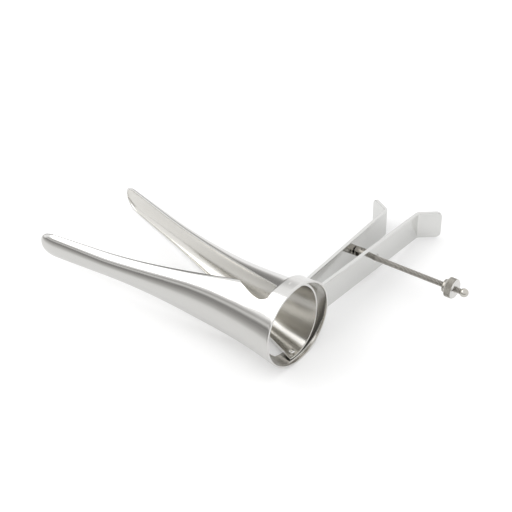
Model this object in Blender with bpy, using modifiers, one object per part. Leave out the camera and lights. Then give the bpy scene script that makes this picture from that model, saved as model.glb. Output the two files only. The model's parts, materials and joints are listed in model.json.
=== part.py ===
"""Two-bladed vaginal speculum for small ruminants, lying on its side with the bills open.

The instrument is modelled in its own frame: the origin is the middle of the pivot axis,
-X points along the bills, +Y along the handles and +Z up the pivot axis. Once every piece
is made, an empty lays the whole instrument down on the table, on the three points it rests on.
"""
import math
from dataclasses import dataclass

import bmesh
import bpy
import numpy as np
from mathutils import Matrix, Vector

MM = 0.001

# Sheet metal valves, in millimetres
SHEET = 1.0                 # wall of both formed valves
RING_RADIUS = 22.4          # outside of the mouth ring, at the pivot axis
RING_TAPER = 0.09           # the ring widens by this much per length toward its rim
RING_RIM = 4.6              # the ring's rim, behind the pivot axis
BAND_WIDTH = 8.9            # plain band of the ring where no funnel follows it
BILL_LENGTH = 156.0         # from the pivot axis to either tip
FUNNEL_LENGTH = 110.0       # where the funnel has become an even trough
TURN_LENGTH = 40.0          # from the mouth's plane to where the sections are square to the bill
RIM_OFFSET = 3.5            # the bills' edges lie this far to the near side of the pivot axis
TIP_ROUNDING = 12.0         # length over which a bill's end is rounded
NEST_GAP = 0.4              # between the inner valve and the ring, at the pivots
EAR_REACH = 2.3             # the inner valve's mouth edge, behind the pivot axis
NOTCH_LENGTH = 21.5         # relief in the near funnel's edges, ahead of the ring
UPPER_NOTCH_DEPTH = 8.2
LOWER_NOTCH_DEPTH = 4.3
EDGE_ROUNDING = 0.22        # broken edges of the sheet and the hinge pin

# Handles
STRIP_WIDTH = 16.0
STRIP_THICKNESS = 2.0
STRIP_EDGE_ROUNDING = 0.35
NEAR_HANDLE_X = -0.2        # middle of the near strip, from the pivot axis
NEAR_HANDLE_LENGTH = 109.0  # from the pivot axis to the bend
FAR_HANDLE_X = -6.54
FAR_HANDLE_TURN = math.radians(5.2)
FAR_HANDLE_LENGTH = 101.5
BEND_RADIUS = 3.0
TAB_LENGTH = 12.0
TAB_CORNER = 3.0
NEAR_TAB_TURN = math.radians(48)
FAR_TAB_TURN = math.radians(58)

# Pivot rivets
RIVET_DIAMETER = 1.6
RIVET_HEAD_DIAMETER = 3.0
RIVET_HEAD_HEIGHT = 0.8
RIVET_HEAD_EDGE = 0.25      # straight side of the head, below its dome

# Rod, its hinge on the far handle, the nut and the ball
ROD_DIAMETER = 3.0
ROD_HOLE_DIAMETER = 5.0
ROD_HOLE_Y = 68.4           # from the pivot axis, along the near handle
LUG_DIAMETER = 5.4
LUG_LENGTH = 7.0
LUG_PIN_REACH = 4.6         # from the far handle's face to the hinge pin
LUG_PIN_DIAMETER = 1.6
TONGUE_THICKNESS = 1.8
TONGUE_RADIUS = 2.4
TONGUE_LENGTH = 3.9         # from the pin to where the round rod begins
NUT_START = 48.4            # the nut's collar, from the hinge pin
COLLAR_DIAMETER = 6.9
COLLAR_LENGTH = 1.9
KNURL_DIAMETER = 10.4
KNURL_LENGTH = 4.6
KNURL_RIBS = 32
KNURL_DEPTH = 0.2
NUT_CHAMFER = 0.7
EDGE_BREAK = 0.3            # chamfers of the collar and the lug
BALL_PLACE = 59.3           # the ball's centre, from the hinge pin
BALL_DIAMETER = 4.55
BALL_BORE_DEPTH = 2.0       # how far the rod's end goes into the ball

GAP = 0.3                   # clearance between pieces that seat on or in each other

ARC_STEPS = 22              # faces across a funnel or bill
FAR_BAND_STEPS = 22         # faces round the ring's plain side


@dataclass(frozen=True)
class Valve:
    """Outer form of one valve: side is +1 where it bulges toward +Y and -1 toward -Y."""
    side: int
    turn: float              # the bill's angle from the ring's axis, positive toward +Y
    mouth_place: float       # the mouth's plane, behind the pivot axis
    mouth_height: float
    mouth_depth: float
    bill_height: float
    tip_height: float
    height_slope: float
    depth_slope: float

    @property
    def rim(self):
        """Outward place of the bill's edges, from the plane through the pivot axis."""
        return -self.side * RIM_OFFSET

    @property
    def start(self):
        """Where the funnel begins, along the bill's axis."""
        return -self.mouth_place / math.cos(self.turn)

    @property
    def mouth_shift(self):
        """Outward place of the ring's axis at the mouth, from the bill's axis."""
        return -self.side * math.sin(self.turn) * self.start


BILL_DEPTH = 4.7            # of either trough, where the funnel ends
TIP_DEPTH = 3.0
BILL_SLOPE = -0.02


def ring_radius(place):
    """Outside of the ring at a place along its axis, behind the pivot axis."""
    return RING_RADIUS + RING_TAPER * place


NEAR_VALVE = Valve(side=-1, turn=math.radians(-11.2), mouth_place=RING_RIM - BAND_WIDTH,
                   mouth_height=ring_radius(RING_RIM - BAND_WIDTH),
                   mouth_depth=ring_radius(RING_RIM - BAND_WIDTH), bill_height=7.6,
                   tip_height=7.3, height_slope=-0.165, depth_slope=-0.285)
FAR_VALVE = Valve(side=1, turn=math.radians(12.2), mouth_place=EAR_REACH,
                  mouth_height=ring_radius(EAR_REACH) - SHEET - NEST_GAP, mouth_depth=17.3,
                  bill_height=8.6, tip_height=7.8, height_slope=-0.17, depth_slope=-0.28)


def smooth(t):
    """Ease from 0 to 1 with level ends."""
    t = min(max(t, 0.0), 1.0)
    return t * t * (3 - 2 * t)


def hermite(t, first, last, first_slope, last_slope):
    """Cubic from first to last, with the given slopes per unit of t."""
    return ((2 * t**3 - 3 * t**2 + 1) * first + (t**3 - 2 * t**2 + t) * first_slope
            + (3 * t**2 - 2 * t**3) * last + (t**3 - t**2) * last_slope)


def funnel_law(u, start, mouth, bill, tip, slope):
    """A funnel size that eases into an even bill, and then runs straight to the tip."""
    if u < FUNNEL_LENGTH:
        length = FUNNEL_LENGTH - start
        return hermite((u - start) / length, mouth, bill, slope * length, BILL_SLOPE * length)
    return bill + (tip - bill) * (u - FUNNEL_LENGTH) / (BILL_LENGTH - FUNNEL_LENGTH)


def funnel_height(u, valve):
    """Half height of a valve at distance u along its axis."""
    return funnel_law(u, valve.start, valve.mouth_height, valve.bill_height, valve.tip_height,
                      valve.height_slope)


def tip_factor(u):
    """Superellipse that rounds the last stretch of a bill."""
    t = max(0.0, (u - (BILL_LENGTH - TIP_ROUNDING)) / TIP_ROUNDING)
    return (1 - min(t, 1.0) ** 2.6) ** (1 / 2.6)


def notched_edges(u, valve):
    """Places of the near funnel's upper and lower edges, relieved just ahead of the ring."""
    deepest = valve.start + 0.14 * NOTCH_LENGTH
    if u > deepest:
        fade = min(1.0, ((u - deepest) / (0.86 * NOTCH_LENGTH)) ** 1.45)
    else:
        fade = 0.1 * ((deepest - u) / (0.14 * NOTCH_LENGTH)) ** 2
    return [valve.rim + depth * (1 - fade) for depth in (UPPER_NOTCH_DEPTH, LOWER_NOTCH_DEPTH)]


def plain_edges(valve):
    """Places of a valve's edges where nothing is relieved."""
    return [valve.rim, valve.rim]


def section(u, valve, edges, grow=0.0):
    """Points across a valve at distance u, from its upper edge round to its lower edge."""
    reach = u - valve.start
    turn = valve.turn * smooth(reach / TURN_LENGTH)
    centre = Vector((-math.cos(valve.turn), math.sin(valve.turn), 0)) * u
    outward = Vector((math.sin(turn), math.cos(turn), 0)) * valve.side
    shift = valve.mouth_shift + (valve.rim - valve.mouth_shift) * smooth(reach / (0.45 * FUNNEL_LENGTH))
    depth = funnel_law(u, valve.start, valve.mouth_depth + valve.mouth_shift - valve.rim, BILL_DEPTH,
                       TIP_DEPTH, valve.depth_slope) + valve.rim - shift
    rounding = tip_factor(u)
    height = funnel_height(u, valve) * max(rounding, tip_factor(BILL_LENGTH - 0.15)) + grow
    depth = depth * rounding + grow
    upper, lower = (math.asin(max(-1.0, min(1.0, (edge - shift) / max(depth, 1e-6))))
                    for edge in edges)
    points = []
    for step in range(ARC_STEPS + 1):
        phi = upper + (math.pi - upper - lower) * step / ARC_STEPS
        along = shift + depth * math.sin(phi)
        points.append((centre + outward * along + Vector((0, 0, height * math.cos(phi)))) * MM)
    return points


def stations(start):
    """Distances of the sections: close together at the notch and at the rounded tip."""
    notch_end = start + NOTCH_LENGTH
    tip_start = BILL_LENGTH - TIP_ROUNDING
    rows = [start + NOTCH_LENGTH * k / 9 for k in range(9)]
    rows += [notch_end + (tip_start - notch_end) * k / 12 for k in range(12)]
    rows += [tip_start + TIP_ROUNDING * math.sin(math.pi / 2 * k / 8) for k in range(9)]
    return rows


def skin(mesh, rows, closed=False):
    """Faces between rows of vertices."""
    for row, following in zip(rows, rows[1:]):
        count = len(row)
        for k in range(count if closed else count - 1):
            j = (k + 1) % count
            mesh.faces.new((row[k], row[j], following[j], following[k]))


def face_outward(mesh, valve):
    """Turn all faces to point away from the valve's hollow."""
    bmesh.ops.recalc_face_normals(mesh, faces=mesh.faces)
    widest = max(mesh.faces, key=lambda face: face.calc_center_median().y * valve.side)
    if widest.normal.y * valve.side < 0:
        bmesh.ops.reverse_faces(mesh, faces=mesh.faces)


def new_object(name, mesh, parent, finish, collection="speculum"):
    """Put a bmesh or a mesh into the scene as a named object."""
    if isinstance(mesh, bmesh.types.BMesh):
        data = bpy.data.meshes.new(name)
        mesh.to_mesh(data)
        mesh.free()
    else:
        data = mesh
    data.shade_smooth()
    data.set_sharp_from_angle(angle=math.radians(35))
    thing = bpy.data.objects.new(name, data)
    bpy.data.collections[collection].objects.link(thing)
    thing.parent = parent
    if finish:
        data.materials.append(finish)
    return thing


def cutter(name, mesh, parent):
    """An object that only cuts others."""
    thing = new_object(name, mesh, parent, None, "cutters")
    thing.display_type = "WIRE"
    thing.hide_render = True
    return thing


def cut(thing, tool, operation="DIFFERENCE"):
    modifier = thing.modifiers.new(tool.name, "BOOLEAN")
    modifier.operation = operation
    modifier.solver = "EXACT"
    modifier.object = tool


def solidify(thing, thickness, offset):
    modifier = thing.modifiers.new("wall", "SOLIDIFY")
    modifier.thickness = thickness * MM
    modifier.offset = offset
    modifier.use_even_offset = True


def bevel(thing, width, segments=2, angle=55):
    modifier = thing.modifiers.new("broken_edges", "BEVEL")
    modifier.width = width * MM
    modifier.segments = segments
    modifier.limit_method = "ANGLE"
    modifier.angle_limit = math.radians(angle)


def cylinder(radius, low, high, axis="Z", segments=48):
    """A capped cylinder from low to high along one axis."""
    mesh = bmesh.new()
    bmesh.ops.create_cone(mesh, cap_ends=True, segments=segments, radius1=radius * MM,
                          radius2=radius * MM, depth=(high - low) * MM)
    bmesh.ops.translate(mesh, verts=mesh.verts, vec=(0, 0, (low + high) / 2 * MM))
    turns = {"X": Matrix.Rotation(math.pi / 2, 3, "Y"), "Y": Matrix.Rotation(-math.pi / 2, 3, "X"),
             "Z": Matrix.Identity(3)}
    bmesh.ops.rotate(mesh, verts=mesh.verts, matrix=turns[axis])
    return mesh


def box(low, high):
    """A box between two corners."""
    mesh = bmesh.new()
    bmesh.ops.create_cube(mesh, size=1)
    size = Vector(high) - Vector(low)
    bmesh.ops.scale(mesh, verts=mesh.verts, vec=size * MM)
    bmesh.ops.translate(mesh, verts=mesh.verts, vec=(Vector(low) + Vector(high)) / 2 * MM)
    return mesh


def revolve(profile, segments=48, closed=False):
    """A turned solid round Z, from (radius, height) points. Its profile is closed, or ends on Z."""
    mesh = bmesh.new()
    rings = []
    for radius, height in profile:
        if radius == 0:
            rings.append([mesh.verts.new((0, 0, height * MM))])
            continue
        angles = [2 * math.pi * k / segments for k in range(segments)]
        rings.append([mesh.verts.new((radius * MM * math.cos(a), radius * MM * math.sin(a),
                                      height * MM)) for a in angles])
    for row, following in zip(rings, rings[1:] + rings[:1] if closed else rings[1:]):
        for k in range(segments):
            j = (k + 1) % segments
            corners = [row[k % len(row)], row[j % len(row)],
                       following[j % len(following)], following[k % len(following)]]
            mesh.faces.new(dict.fromkeys(corners))
    bmesh.ops.recalc_face_normals(mesh, faces=mesh.faces)
    return mesh


def make_outer_valve(parent, finish):
    """Mouth ring, near funnel and near bill, formed as one sheet."""
    valve = NEAR_VALVE
    mesh = bmesh.new()
    rows = [[mesh.verts.new(point) for point in section(u, valve, notched_edges(u, valve))]
            for u in stations(valve.start)]
    skin(mesh, rows)
    back = ring_radius(valve.mouth_place)
    upper, lower = (math.asin((edge - valve.mouth_shift) / back)
                    for edge in notched_edges(valve.start, valve))
    far_angles = [math.pi - lower + (math.pi + upper + lower) * k / FAR_BAND_STEPS
                  for k in range(1, FAR_BAND_STEPS)]
    front = rows[0] + [mesh.verts.new(Vector((valve.mouth_place, -back * math.sin(a),
                                              back * math.cos(a))) * MM)
                       for a in far_angles]
    flare = ring_radius(RING_RIM) / back
    rim = [mesh.verts.new((RING_RIM * MM, vert.co.y * flare, vert.co.z * flare)) for vert in front]
    skin(mesh, [rim, front], closed=True)
    face_outward(mesh, valve)
    thing = new_object("outer_valve", mesh, parent, finish)
    solidify(thing, SHEET, -1)
    bevel(thing, EDGE_ROUNDING)
    return thing


def make_inner_valve(parent, finish):
    """Half funnel nested in the ring, with the far bill, formed as one sheet."""
    valve = FAR_VALVE
    mesh = bmesh.new()
    rows = [[mesh.verts.new(point) for point in section(u, valve, plain_edges(valve))]
            for u in stations(valve.start)]
    skin(mesh, rows)
    face_outward(mesh, valve)
    thing = new_object("inner_valve", mesh, parent, finish)
    solidify(thing, SHEET, -1)
    bevel(thing, EDGE_ROUNDING)
    return thing


def funnel_core(parent):
    """Solid that fills the inner valve's funnel and its seat clearance, to shape what meets it."""
    valve = FAR_VALVE
    mesh = bmesh.new()
    rows = [[mesh.verts.new(point) for point in section(u, valve, plain_edges(valve), grow=GAP)]
            for u in stations(valve.start)[:12]]
    skin(mesh, rows, closed=True)
    mesh.faces.new(rows[0])
    mesh.faces.new(rows[-1])
    bmesh.ops.recalc_face_normals(mesh, faces=mesh.faces)
    return cutter("funnel_core", mesh, parent)


def strip_mesh(root, length, tab_turn, side):
    """Middle surface of a handle: a flat strip whose end is bent out as a tab."""
    half = STRIP_WIDTH / 2
    path = [(0.0, root), (0.0, length - BEND_RADIUS * math.tan(tab_turn / 2))]
    bend_start = path[-1][1]
    steps = 6
    for k in range(1, steps + 1):
        angle = tab_turn * k / steps
        path.append((BEND_RADIUS * (1 - math.cos(angle)), bend_start + BEND_RADIUS * math.sin(angle)))
    out, along = path[-1]

    def tab_point(reach, z):
        return Vector((side * (out + reach * math.sin(tab_turn)), along + reach * math.cos(tab_turn),
                       z)) * MM

    mesh = bmesh.new()
    rows = [[mesh.verts.new(Vector((side * x, y, z)) * MM) for z in (half, -half)]
            for x, y in path]
    rows.append([mesh.verts.new(tab_point(TAB_LENGTH - TAB_CORNER, z)) for z in (half, -half)])
    skin(mesh, rows)
    corner = [(TAB_LENGTH - TAB_CORNER * (1 - math.sin(rise)), half - TAB_CORNER * (1 - math.cos(rise)))
              for rise in (math.pi / 2 * k / 6 for k in range(1, 7))]
    upper = [mesh.verts.new(tab_point(reach, z)) for reach, z in corner]
    lower = [mesh.verts.new(tab_point(reach, -z)) for reach, z in reversed(corner)]
    mesh.faces.new([rows[-1][0]] + upper + lower + [rows[-1][1]])
    bmesh.ops.recalc_face_normals(mesh, faces=mesh.faces)
    return mesh


def make_outer_handle(parent, finish):
    """Near handle: its root is shaped to the ring, and the rod passes through its hole."""
    mesh = strip_mesh(0.8 * RING_RADIUS, NEAR_HANDLE_LENGTH, NEAR_TAB_TURN, 1)
    thing = new_object("outer_handle", mesh, parent, finish)
    thing.location = (NEAR_HANDLE_X * MM, 0, 0)
    solidify(thing, STRIP_THICKNESS, 0)
    bevel(thing, STRIP_EDGE_ROUNDING)
    seat = cutter("ring_seat", cylinder(RING_RADIUS + GAP, -2 * BAND_WIDTH, 2 * BAND_WIDTH, "X", 96),
                  parent)
    cut(thing, seat)
    hole = cutter("rod_hole", cylinder(ROD_HOLE_DIAMETER / 2, -3 * STRIP_THICKNESS,
                                       3 * STRIP_THICKNESS, "X", 40), parent)
    hole.location = (NEAR_HANDLE_X * MM, ROD_HOLE_Y * MM, 0)
    cut(thing, hole)
    return thing


def make_inner_handle(parent, finish):
    """Far handle: its root is shaped to the inner valve's funnel, just ahead of the ring."""
    mesh = strip_mesh(0.5 * FAR_VALVE.mouth_depth, FAR_HANDLE_LENGTH, FAR_TAB_TURN, -1)
    thing = new_object("inner_handle", mesh, parent, finish)
    thing.location = (FAR_HANDLE_X * MM, 0, 0)
    thing.rotation_euler = (0, 0, FAR_HANDLE_TURN)
    solidify(thing, STRIP_THICKNESS, 0)
    bevel(thing, STRIP_EDGE_ROUNDING)
    cut(thing, funnel_core(parent))
    return thing


def hinge_pin_place():
    """Middle of the rod's hinge pin, as far from the pivot axis as the near handle's hole."""
    reach = STRIP_THICKNESS / 2 + LUG_PIN_REACH
    along = Vector((-math.sin(FAR_HANDLE_TURN), math.cos(FAR_HANDLE_TURN)))
    inward = Vector((math.cos(FAR_HANDLE_TURN), math.sin(FAR_HANDLE_TURN)))
    base = Vector((FAR_HANDLE_X, 0)) + inward * reach
    hole_radius = Vector((NEAR_HANDLE_X, ROD_HOLE_Y)).length
    step = -base.dot(along) + math.sqrt(base.dot(along)**2 - base.length_squared + hole_radius**2)
    place = base + along * step
    return Vector((place.x, place.y, 0))


def make_rivet(name, parent, finish, direction):
    """Pivot rivet: a shank through both walls, flush outside, with a low head inside."""
    valve = FAR_VALVE
    shank = RIVET_DIAMETER / 2
    head = RIVET_HEAD_DIAMETER / 2
    wall = funnel_height(head, valve)
    wall *= math.sqrt(1 - (head / valve.mouth_depth) ** 2)
    seat = wall - SHEET - GAP
    dome = RIVET_HEAD_HEIGHT - RIVET_HEAD_EDGE
    crown = [(head * math.cos(math.pi / 2 * k / 4),
              seat - RIVET_HEAD_EDGE - dome * math.sin(math.pi / 2 * k / 4)) for k in range(4)]
    profile = [(0, RING_RADIUS), (shank, RING_RADIUS), (shank, seat), (head, seat)]
    profile += crown + [(0, seat - RIVET_HEAD_HEIGHT)]
    thing = new_object(name, revolve(profile, 24), parent, finish)
    thing.rotation_euler = (0 if direction > 0 else math.pi, 0, 0)
    return thing


def make_rod_lug(frame, finish):
    """Round stud on the far handle with a fork slot for the rod's tongue. X points along it."""
    seat = -LUG_PIN_REACH + GAP
    end = LUG_LENGTH - LUG_PIN_REACH
    thing = new_object("rod_lug", cylinder(LUG_DIAMETER / 2, seat, end, "X", 40), frame, finish)
    bevel(thing, EDGE_BREAK)
    half_slot = TONGUE_THICKNESS / 2 + GAP
    slot = cutter("lug_slot", box((-TONGUE_RADIUS - 2 * GAP, -LUG_DIAMETER, -half_slot),
                                  (LUG_LENGTH, LUG_DIAMETER, half_slot)), frame)
    cut(thing, slot)
    bore = cutter("lug_bore", cylinder(LUG_PIN_DIAMETER / 2 + GAP, -LUG_DIAMETER, LUG_DIAMETER,
                                       "Z", 24), frame)
    cut(thing, bore)
    return thing


def make_lug_pin(frame, finish):
    mesh = cylinder(LUG_PIN_DIAMETER / 2, -LUG_DIAMETER / 2, LUG_DIAMETER / 2, "Z", 24)
    thing = new_object("lug_pin", mesh, frame, finish)
    bevel(thing, EDGE_ROUNDING)
    return thing


def make_rod(frame, finish):
    """Threaded rod with a flat tongue at the hinge. X points along it from the hinge pin."""
    end = BALL_PLACE - BALL_DIAMETER / 2 + BALL_BORE_DEPTH - GAP
    thing = new_object("threaded_rod", cylinder(ROD_DIAMETER / 2, TONGUE_LENGTH, end, "X", 32),
                       frame, finish)
    half = TONGUE_THICKNESS / 2
    eye = cutter("tongue_eye", cylinder(TONGUE_RADIUS, -half, half, "Z", 32), frame)
    neck = cutter("tongue_neck", box((0, -0.45 * ROD_DIAMETER, -half),
                                     (TONGUE_LENGTH + half, 0.45 * ROD_DIAMETER, half)), frame)
    bore = cutter("tongue_bore", cylinder(LUG_PIN_DIAMETER / 2 + GAP, -LUG_DIAMETER, LUG_DIAMETER,
                                          "Z", 24), frame)
    cut(thing, neck, "UNION")
    cut(thing, eye, "UNION")
    cut(thing, bore)
    return thing


def make_nut(frame, finish):
    """Knurled nut with a plain collar toward the handle, turned in one piece."""
    collar = COLLAR_DIAMETER / 2
    knurl = KNURL_DIAMETER / 2
    bore = ROD_DIAMETER / 2 + GAP
    length = COLLAR_LENGTH + KNURL_LENGTH
    profile = [(bore, 0), (collar - EDGE_BREAK, 0), (collar, EDGE_BREAK), (collar, COLLAR_LENGTH),
               (knurl - NUT_CHAMFER / 2, COLLAR_LENGTH), (knurl, COLLAR_LENGTH + NUT_CHAMFER / 2),
               (knurl, length - NUT_CHAMFER), (knurl - NUT_CHAMFER, length), (bore, length)]
    mesh = revolve(profile, 2 * KNURL_RIBS, closed=True)
    for vert in mesh.verts:
        radius = math.hypot(vert.co.x, vert.co.y)
        if radius > (knurl - 1e-4) * MM:
            spoke = round(math.atan2(vert.co.y, vert.co.x) / (math.pi / KNURL_RIBS))
            if spoke % 2:
                vert.co.x *= 1 - KNURL_DEPTH / knurl
                vert.co.y *= 1 - KNURL_DEPTH / knurl
    bmesh.ops.rotate(mesh, verts=mesh.verts, matrix=Matrix.Rotation(math.pi / 2, 3, "Y"))
    thing = new_object("knurled_nut", mesh, frame, finish)
    thing.location = (NUT_START * MM, 0, 0)
    return thing


def make_ball(frame, finish):
    """Ball on the rod's end, which keeps the nut on."""
    mesh = bmesh.new()
    bmesh.ops.create_uvsphere(mesh, u_segments=32, v_segments=16, radius=BALL_DIAMETER / 2 * MM)
    bmesh.ops.rotate(mesh, verts=mesh.verts, matrix=Matrix.Rotation(math.pi / 2, 3, "Y"))
    thing = new_object("end_ball", mesh, frame, finish)
    thing.location = (BALL_PLACE * MM, 0, 0)
    start = BALL_PLACE - BALL_DIAMETER
    end = BALL_PLACE - BALL_DIAMETER / 2 + BALL_BORE_DEPTH
    socket = cutter("ball_socket", cylinder(ROD_DIAMETER / 2 + GAP, start, end, "X", 32), frame)
    cut(thing, socket)
    return thing


def empty(name, parent=None, location=(0, 0, 0), turn=0.0):
    thing = bpy.data.objects.new(name, None)
    bpy.data.collections["speculum"].objects.link(thing)
    thing.parent = parent
    thing.location = Vector(location) * MM
    thing.rotation_euler = (0, 0, turn)
    thing.empty_display_size = 0.01
    return thing


def steel(name, colour, roughness):
    finish = bpy.data.materials.new(name)
    finish.use_nodes = True
    shader = finish.node_tree.nodes["Principled BSDF"]
    shader.inputs["Base Color"].default_value = (*colour, 1)
    shader.inputs["Metallic"].default_value = 1.0
    shader.inputs["Roughness"].default_value = roughness
    return finish


def solids(collection):
    """Evaluated vertices and volume centroid of every piece, in world space."""
    graph = bpy.context.evaluated_depsgraph_get()
    corners, centre, total = [], Vector(), 0.0
    for thing in collection.objects:
        if thing.type != "MESH":
            continue
        evaluated = thing.evaluated_get(graph)
        mesh = bmesh.new()
        mesh.from_mesh(evaluated.to_mesh())
        mesh.transform(thing.matrix_world)
        bmesh.ops.triangulate(mesh, faces=mesh.faces)
        for face in mesh.faces:
            a, b, c = (vert.co for vert in face.verts)
            part = a.dot(b.cross(c)) / 6
            centre += (a + b + c) / 4 * part
            total += part
        corners += [tuple(vert.co) for vert in mesh.verts]
        mesh.free()
        evaluated.to_mesh_clear()
    return np.array(corners), centre / total


def topple(corners, pivot, axis, centre):
    """Turn about a level axis through pivot, centre's side down, until a further corner touches."""
    across = np.array([-axis[1], axis[0], 0.0])
    across *= math.copysign(1, (centre - pivot) @ across)
    reach = (corners - pivot) @ across
    rise = corners[:, 2] - pivot[2]
    angles = np.where(reach > 1e-5, np.arctan2(np.maximum(rise, 0), np.maximum(reach, 1e-9)), np.inf)
    angles[angles < 1e-6] = np.inf
    touching = int(np.argmin(angles))
    turn = Matrix.Rotation(angles[touching], 3, Vector(np.cross(across, (0, 0, -1))))
    return touching, np.array(turn)


def resting_turn(corners, centre):
    """Rotation that lays the instrument on the three corners it comes to rest on."""
    total = np.eye(3)
    contacts = [int(np.argmin(corners[:, 2]))]
    for _ in range(12):
        level = corners @ total.T
        middle = total @ centre
        feet = [level[k] for k in contacts]
        if len(feet) == 1:
            toward = (middle - feet[0]) * (1, 1, 0)
            axis = np.array([-toward[1], toward[0], 0]) / np.linalg.norm(toward)
        else:
            axis = (feet[1] - feet[0]) * (1, 1, 0)
            axis /= np.linalg.norm(axis)
        touching, turn = topple(level, feet[0], axis, middle)
        total = turn @ total
        contacts = (contacts + [touching])[-3:]
        if len(contacts) < 3:
            continue
        level = corners @ total.T
        middle = total @ centre
        leaning = outside_edge([level[k] for k in contacts], middle)
        if leaning is None:
            break
        contacts = [contacts[leaning], contacts[(leaning + 1) % 3]]
    return Matrix(total.tolist())


def outside_edge(feet, centre):
    """Which side of the triangle of feet the centre of mass is beyond, or None."""
    for k in range(3):
        a, b, c = feet[k], feet[(k + 1) % 3], feet[(k + 2) % 3]
        def side(p):
            return (b[0] - a[0]) * (p[1] - a[1]) - (b[1] - a[1]) * (p[0] - a[0])
        if side(centre) * side(c) < 0:
            return k
    return None


def lay_down(root):
    """Turn and lift the instrument so that it rests on the table, centred on the origin."""
    collection = bpy.data.collections["speculum"]
    bpy.context.view_layer.update()
    corners, centre = solids(collection)
    turn = resting_turn(corners, np.array(centre))
    root.rotation_mode = "QUATERNION"
    root.rotation_quaternion = turn.to_quaternion()
    laid = corners @ np.array(turn).T
    low, high = laid.min(axis=0), laid.max(axis=0)
    root.location = (-(low[0] + high[0]) / 2, -(low[1] + high[1]) / 2, -low[2])


def main():
    for thing in list(bpy.data.objects):
        bpy.data.objects.remove(thing)
    for name in ("speculum", "cutters"):
        bpy.context.scene.collection.children.link(bpy.data.collections.new(name))
    polished = steel("polished_steel", (0.78, 0.78, 0.77), 0.12)
    satin = steel("satin_steel", (0.70, 0.70, 0.69), 0.32)

    root = empty("instrument")
    outer = empty("outer_half", root)
    inner = empty("inner_half", root)
    make_outer_valve(outer, polished)
    make_outer_handle(outer, satin)
    make_inner_valve(inner, polished)
    make_inner_handle(inner, satin)
    for name, direction in (("upper_rivet", 1), ("lower_rivet", -1)):
        make_rivet(name, outer, polished, direction)
    bore = cutter("pivot_bore", cylinder(RIVET_DIAMETER / 2 + GAP, -2 * RING_RADIUS,
                                         2 * RING_RADIUS, "Z", 24), root)
    for name in ("outer_valve", "inner_valve"):
        cut(bpy.data.objects[name], bore)

    pin = hinge_pin_place()
    hole = Vector((NEAR_HANDLE_X, ROD_HOLE_Y, 0))
    lug_frame = empty("lug_frame", inner, pin, FAR_HANDLE_TURN)
    rod_frame = empty("rod_frame", inner, pin, math.atan2(hole.y - pin.y, hole.x - pin.x))
    make_rod_lug(lug_frame, satin)
    make_lug_pin(lug_frame, polished)
    make_rod(rod_frame, satin)
    make_nut(rod_frame, satin)
    make_ball(rod_frame, polished)
    lay_down(root)


main()
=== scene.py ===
"""Looks of a polished stainless steel speculum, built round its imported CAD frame.

Pieces are modelled in millimetres in the instrument's own axes: the origin is the middle of the
pivot axis, -X points along the bills, +Y along the handles and +Z up the pivot axis. Each mesh is
then carried into the row frame, in metres, by a matrix read from the record's joints and mounts.
"""
import json
import math

import bmesh
import bpy
from bpy.props import FloatProperty, IntProperty, PointerProperty, StringProperty
from mathutils import Matrix, Quaternion, Vector
from mathutils.bvhtree import BVHTree


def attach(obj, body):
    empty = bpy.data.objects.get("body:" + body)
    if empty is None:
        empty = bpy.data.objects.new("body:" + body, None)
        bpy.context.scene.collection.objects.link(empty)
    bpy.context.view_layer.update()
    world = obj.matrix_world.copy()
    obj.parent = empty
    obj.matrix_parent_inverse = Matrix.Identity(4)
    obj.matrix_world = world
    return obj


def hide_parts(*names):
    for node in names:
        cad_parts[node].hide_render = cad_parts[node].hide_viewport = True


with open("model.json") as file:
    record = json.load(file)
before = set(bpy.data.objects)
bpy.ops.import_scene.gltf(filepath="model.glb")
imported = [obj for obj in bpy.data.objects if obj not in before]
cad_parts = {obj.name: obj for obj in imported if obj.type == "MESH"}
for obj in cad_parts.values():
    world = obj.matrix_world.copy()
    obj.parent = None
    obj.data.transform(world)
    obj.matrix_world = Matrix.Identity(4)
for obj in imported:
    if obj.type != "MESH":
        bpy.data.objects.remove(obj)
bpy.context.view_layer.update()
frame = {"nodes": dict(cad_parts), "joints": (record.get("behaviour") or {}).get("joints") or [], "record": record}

bl_info = {
    "name": "Speculum looks",
    "version": (1, 0, 0),
    "blender": (4, 5, 0),
    "location": "3D View > Sidebar > Speculum",
    "description": "Builds the finished surfaces of a duck-bill speculum round its CAD frame",
    "category": "Object",
}

NODES = frame["nodes"]
JOINTS = {joint["name"]: joint for joint in frame["joints"]}
MOUNTS = {mount["name"]: mount for mount in frame["record"]["mounts"]}
MM = 0.001

# Formed sheet of both valves, as in the CAD, in millimetres
RING_RADIUS = 22.4
MEAN_RADIUS = 0.5 * RING_RADIUS
RING_TAPER = 0.09
RING_RIM = 4.6
BAND_WIDTH = 8.9
BILL_LENGTH = 156.0
FUNNEL_LENGTH = 110.0
TURN_LENGTH = 40.0
RIM_OFFSET = 3.5
TIP_ROUNDING = 12.0
TIP_POWER = 2.6
TIP_STUB = 0.15
NEST_GAP = 0.4
EAR_REACH = 2.3
FAR_MOUTH_DEPTH = 17.3
BILL_DEPTH = 4.7
TIP_DEPTH = 3.0
BILL_SLOPE = -0.02
SETTLE_LENGTH = 0.45 * FUNNEL_LENGTH

# Relief in the near funnel's edges: deep already at the ring, deepest a little ahead of it, and then
# running out. The lip is the share of its depth that is missing at the ring.
NOTCH_LENGTH = 21.5
NOTCH_DEPTHS = (8.2, 4.3)
NOTCH_ONSET = 0.14 * NOTCH_LENGTH
NOTCH_RUN_OUT = 0.86 * NOTCH_LENGTH
NOTCH_LIP = 0.1
NOTCH_POWER = 1.45

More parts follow.
